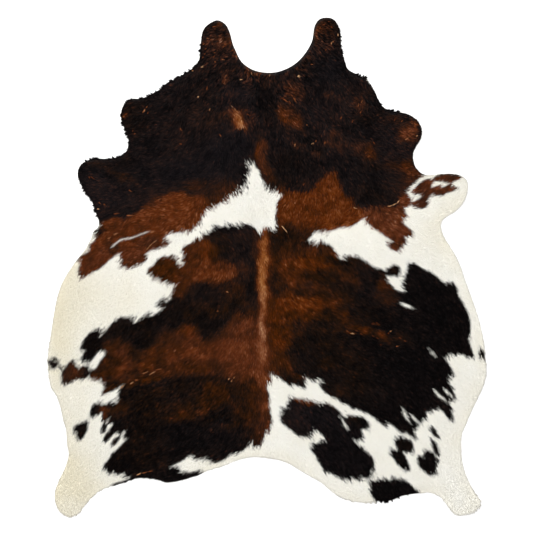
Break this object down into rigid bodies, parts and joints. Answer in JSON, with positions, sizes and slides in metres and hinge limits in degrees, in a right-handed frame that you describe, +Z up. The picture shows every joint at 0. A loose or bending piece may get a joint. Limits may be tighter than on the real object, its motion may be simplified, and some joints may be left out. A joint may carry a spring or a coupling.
{
  "type": "cowhide rug",
  "caption": "Large flat rug cut from one tanned cowhide with its hair on, in the irregular outline of the skin, with ear lobes, forelegs and hind legs at its rim.",
  "frame": {"origin": "middle of the hide's width and length, on the floor that its underside rests on", "axes": "+Y from the rump to the neck end, +X to the right seen from above the hair side, +Z up out of the hair side"},
  "size_m": [1.926, 2.195, 0.0139],
  "materials": {
    "hair_on_hide": "short glossy hair lying flat on tanned skin, black, chestnut and cream in natural patches, with a suede underside"
  },
  "bodies": {
    "root": {"hide": "hair_on_hide"}
  },
  "joints": []
}
